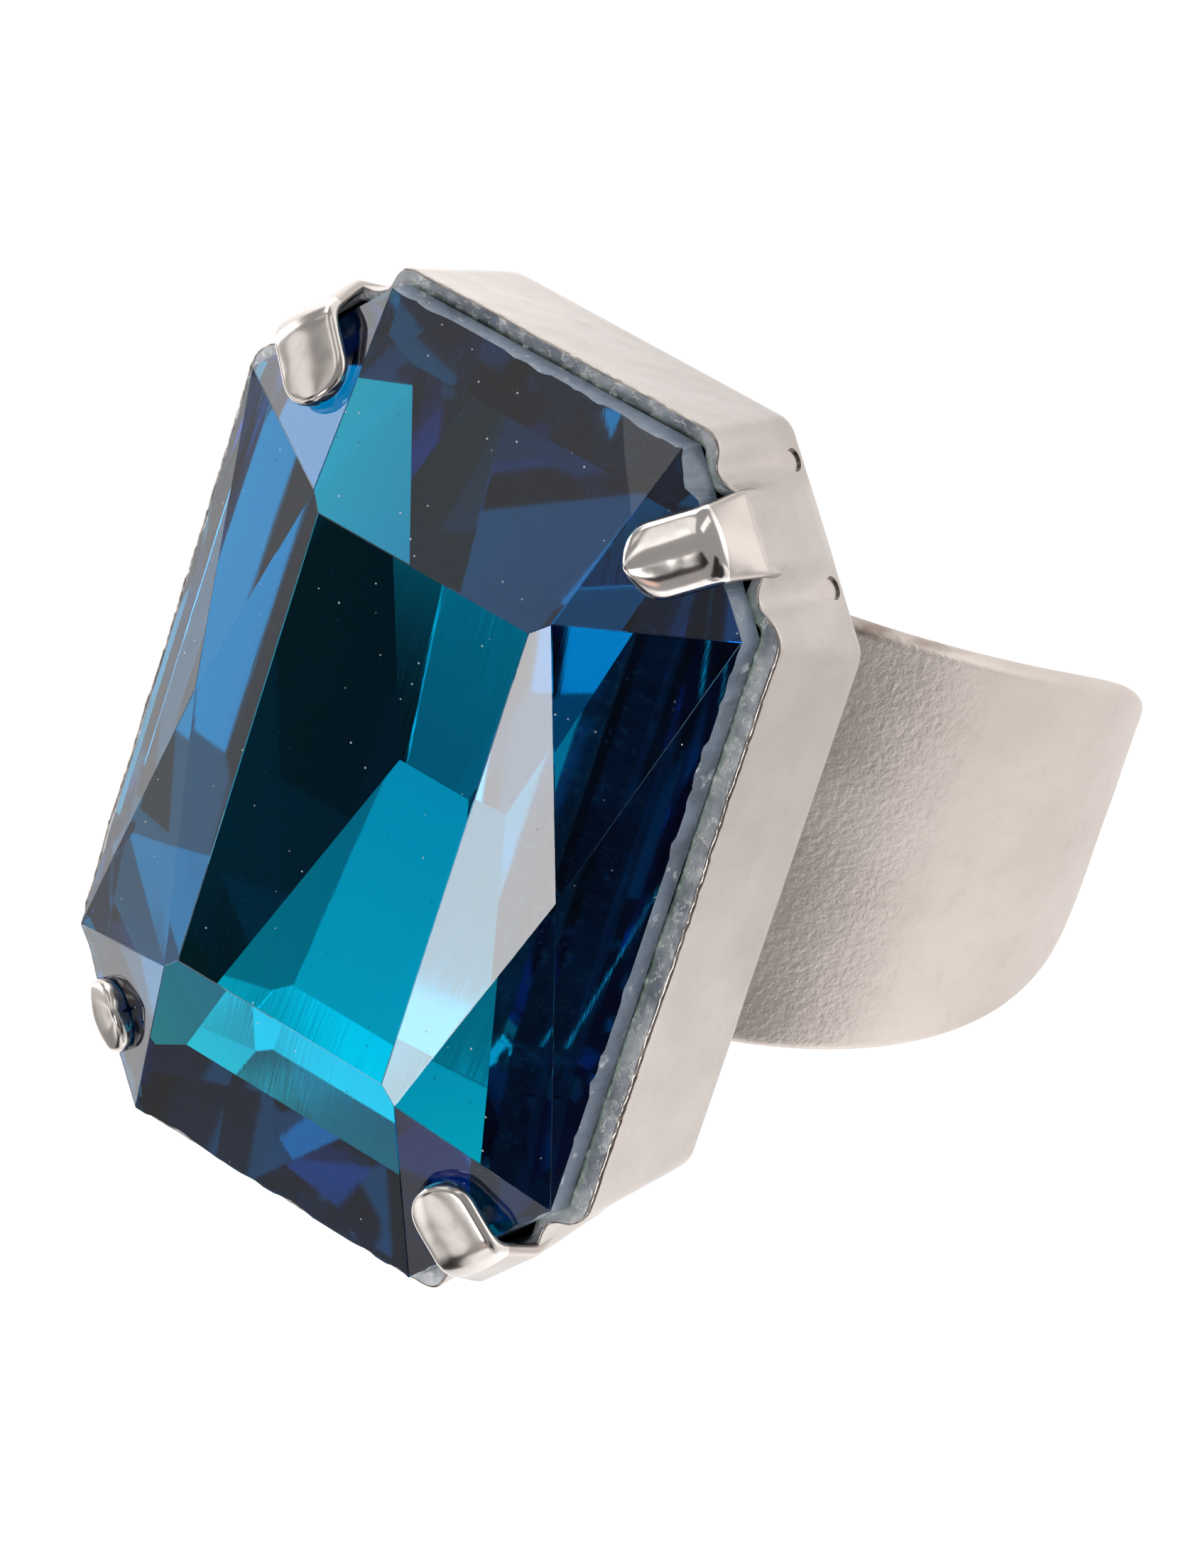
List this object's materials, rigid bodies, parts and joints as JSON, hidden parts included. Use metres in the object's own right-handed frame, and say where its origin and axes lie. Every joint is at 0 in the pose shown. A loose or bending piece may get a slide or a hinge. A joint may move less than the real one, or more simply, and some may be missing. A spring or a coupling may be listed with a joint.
{
  "type": "cocktail ring",
  "caption": "Open-band cocktail ring: a large faceted octagon crystal held by corner prongs in a stamped cup, soldered to a wide tapering band.",
  "frame": {"origin": "on the finger axis, the centre of the band's circle, under the middle of the stone", "axes": "+Y along the finger axis and the stone's long side, +Z out through the stone's table, +X across the finger"},
  "size_m": [0.023, 0.028, 0.0267],
  "materials": {
    "crystal_glass": "polished facets, foil-backed",
    "plated_metal": "satin nickel plate over brass",
    "solder_metal": "dull"
  },
  "bodies": {
    "root": {"crystal": "crystal_glass", "prong_setting": "plated_metal", "solder_joint": "solder_metal", "band": "plated_metal"}
  },
  "joints": []
}
